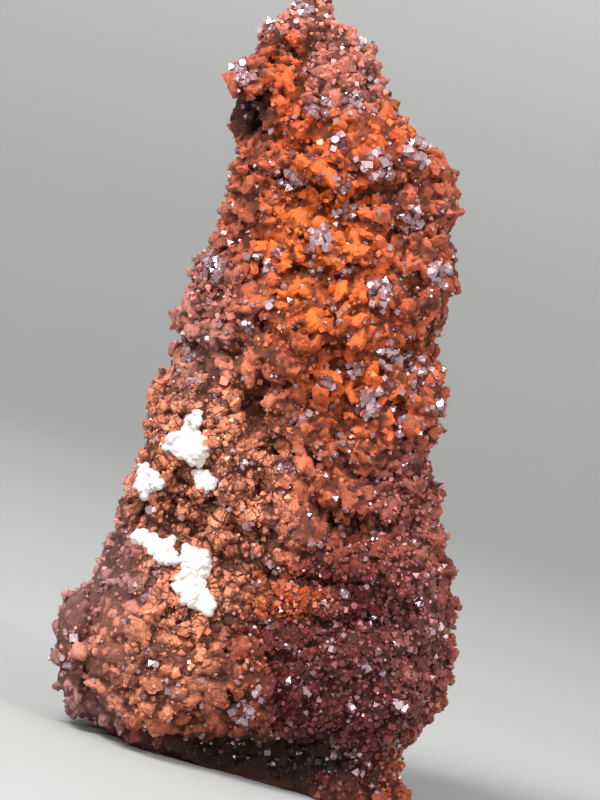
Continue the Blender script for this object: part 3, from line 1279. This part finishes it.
def add_light(name, size, power, place):
    """A square light at a place given as the photograph sees it, turned to the rock."""
    rock_middle = Vector((0, 0, 0.03))
    light = bpy.data.lights.new(name, "AREA")
    light.shape = "SQUARE"
    light.size = size
    light.energy = power
    lamp = bpy.data.objects.new(name, light)
    lamp.location = photo_place(*place) + rock_middle
    lamp.rotation_euler = (-photo_place(*place)).to_track_quat("-Z", "Y").to_euler()
    lamp.visible_camera = False
    bpy.context.scene.collection.objects.link(lamp)


def add_camera():
    """The camera that sees the rock as the photograph does, rolled by its lean."""
    values = settings().studio
    camera = bpy.data.cameras.new("camera")
    camera.lens = values.lens
    camera.clip_start, camera.clip_end = 0.01, 10.0
    seer = bpy.data.objects.new("camera", camera)
    bpy.context.scene.collection.objects.link(seer)
    bpy.context.scene.camera = seer
    across = (PHOTO_SIZE[0] / 2 - PHOTO_BASE[0]) * PIXEL_SIZE
    height = (PHOTO_BASE[1] - PHOTO_SIZE[1] / 2) * PIXEL_SIZE
    aim = frame_place(across, 0.0, height)
    away = PHOTO_SIZE[1] * PIXEL_SIZE * MM * values.lens / camera.sensor_width
    right = Vector((math.cos(LEAN), 0.0, math.sin(LEAN)))
    up = Vector((-math.sin(LEAN), 0.0, math.cos(LEAN)))
    back = Vector((0, -1, 0)) * math.cos(values.elevation) + up * math.sin(values.elevation)
    turn = Matrix((right, back.cross(right), back)).transposed().to_4x4()
    seer.matrix_world = Matrix.Translation(aim + back * away) @ turn


# Operators

class SPECIMEN_OT_rock(bpy.types.Operator):
    """Make the rock's crumbled skin and the crumbs that lie on it"""

    bl_idname = "specimen.rock"
    bl_label = "Rock"

    def execute(self, context):
        material = rock_material()
        draw = np.random.default_rng(ROCK_SEED)
        skin = rock_skin(draw)
        add_piece("rock_skin", skin, material, ["matrix"])
        add_piece("rock_crumbs", crumbs_mesh("rock_crumbs", Ground(skin), draw), material, [])
        return {"FINISHED"}


class SPECIMEN_OT_crystals(bpy.types.Operator):
    """Grow the druse, the nests of larger crystals and the strays"""

    bl_idname = "specimen.crystals"
    bl_label = "Crystals"

    def execute(self, context):
        foot, sparse, closeness, back_loss, break_loss = 0.5, 0.04, 0.36, 0.8, 0.5
        skin = bpy.data.objects["rock_skin"].data
        ground, tree = Ground(skin), tree_of(skin)
        values = settings().crystals
        draw = np.random.default_rng(CRYSTAL_SEED)
        over = ground.middles[:, 2] > foot
        low = values.smallest / MM
        span = values.largest / MM - low

        density = (ground.breaks["druse"] ** 2 + sparse) * over
        places, normals, _ = ground.strewn(values.druse_count, density, draw)
        sizes = random_sizes(low, span, len(places), draw, rarity=2)
        kept = spaced(places, sizes, closeness)
        places, normals, sizes = places[kept], normals[kept], sizes[kept]
        tints = tints_at(places, normals) * draw.uniform(0.7, 1.7, (len(places), 1))
        mesh = crystals_mesh("druse", places, normals, sizes, np.clip(tints, 0, 1), draw, rise=0.1)
        add_piece("druse_crystals", mesh, druse_material(), [])

        material = crystal_material()
        front_share = 1 - back_loss * turned_back(ground.facing, 2)
        bare = 1 - break_loss * ground.breaks["plates"] - break_loss * ground.breaks["calm"]
        density = front_share * np.maximum(bare, 0.1) * over
        places, normals, _ = ground.strewn(values.stray_count, density, draw)
        sizes = random_sizes(low, span * 0.7, len(places), draw, rarity=1.8)
        tints = crystal_tints(len(places), 0.55, draw)
        mesh = crystals_mesh("stray", places, normals, sizes, tints, draw, rise=0.2)
        add_piece("stray_crystals", mesh, material, [])

        nests = [
            nest(tree, (x, z), radius, count, pale, smallest=low * 1.2, span=span, rarity=1.3, draw=draw)
            for x, z, radius, count, pale in CRYSTAL_NESTS
        ]
        places, normals, sizes, tints = (np.concatenate(part) for part in zip(*nests))
        mesh = crystals_mesh("nests", places, normals, sizes, tints, draw, rise=0.3)
        add_piece("nest_crystals", mesh, material, [])

        for name in CLUSTER_NODES:
            box = np.array(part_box(name)) / MM
            across, _, height = (float(part[0]) for part in front_places(box.mean(axis=0)[None]))
            radius = np.ptp(box, axis=0)[[0, 2]].mean() / 2
            cluster = nest(
                tree, (across, height), radius, CLUSTER_CRYSTALS, pale=0.7, smallest=low * 1.3,
                span=span * 1.15, rarity=1.2, draw=draw,
            )
            mesh = crystals_mesh(name, *cluster, draw, rise=0.4)
            add_piece(f"{name}_crystals", mesh, material, [name])
        return {"FINISHED"}


class SPECIMEN_OT_crusts(bpy.types.Operator):
    """Lay the white crusts"""

    bl_idname = "specimen.crusts"
    bl_label = "White crusts"

    def execute(self, context):
        ground = Ground(bpy.data.objects["rock_skin"].data)
        material = crust_material()
        draw = np.random.default_rng(CRUST_SEED)
        for name, outline in CRUST_OUTLINES.items():
            crust = crust_mesh(name, outline, ground, draw)
            add_piece(f"{name}_grains", crust, material, [name])
        return {"FINISHED"}


class SPECIMEN_OT_studio(bpy.types.Operator):
    """Set the pale backdrop, the soft lights and the camera"""

    bl_idname = "specimen.studio"
    bl_label = "Studio"

    def execute(self, context):
        values = settings().studio
        floor = bpy.data.objects.new("backdrop", backdrop_mesh())
        floor.data.materials.append(backdrop_material())
        context.scene.collection.objects.link(floor)
        world = bpy.data.worlds.new("studio")
        context.scene.world = world
        world.use_nodes = True
        sky = world.node_tree.nodes["Background"].inputs
        sky["Color"].default_value = (1.0, 0.99, 0.97, 1.0)
        sky["Strength"].default_value = values.sky
        for light in (
            ("key", 0.28, values.key_power, (-0.16, 0.66, 0.42)),
            ("fill", 0.6, values.fill_power, (0.5, 0.2, 0.5)),
            ("glint_left", 0.05, values.glint_power, (-0.4, 0.3, 0.45)),
            ("glint_right", 0.04, values.glint_power * 0.6, (0.35, 0.35, 0.45)),
            ("glint_front", 0.05, values.glint_power * 0.5, (0.05, 0.2, 0.7)),
        ):
            add_light(*light)
        context.scene.view_settings.view_transform = "Standard"
        add_camera()
        return {"FINISHED"}


class SPECIMEN_PT_panel(bpy.types.Panel):
    """The specimen's settings and its making"""

    bl_idname = "SPECIMEN_PT_panel"
    bl_label = "Cuprite on matrix"
    bl_space_type = "VIEW_3D"
    bl_region_type = "UI"
    bl_category = "Specimen"

    def draw(self, context):
        values = context.scene.specimen
        for title, group in (
            ("Colours", values.colours), ("Rock", values.rock), ("Crumbs", values.crumbs),
            ("Crystals", values.crystals), ("Studio", values.studio),
        ):
            box = self.layout.box()
            box.label(text=title)
            for name in group.__annotations__:
                box.prop(group, name)
        for operator in OPERATORS:
            self.layout.operator(operator.bl_idname)


PROPERTY_GROUPS = (
    SpecimenColours, SpecimenRock, SpecimenCrumbs, SpecimenCrystals, SpecimenStudio, SpecimenSettings,
)
OPERATORS = (SPECIMEN_OT_rock, SPECIMEN_OT_crystals, SPECIMEN_OT_crusts, SPECIMEN_OT_studio)
CLASSES = (*PROPERTY_GROUPS, *OPERATORS, SPECIMEN_PT_panel)


def register():
    for cls in CLASSES:
        bpy.utils.register_class(cls)
    bpy.types.Scene.specimen = bpy.props.PointerProperty(
        type=SpecimenSettings, name="Specimen", description="Settings of the cuprite specimen"
    )


def unregister():
    del bpy.types.Scene.specimen
    for cls in reversed(CLASSES):
        bpy.utils.unregister_class(cls)


def main():
    register()
    bpy.ops.specimen.rock()
    bpy.ops.specimen.crystals()
    bpy.ops.specimen.crusts()
    bpy.ops.specimen.studio()


if __name__ == "__main__":
    main()
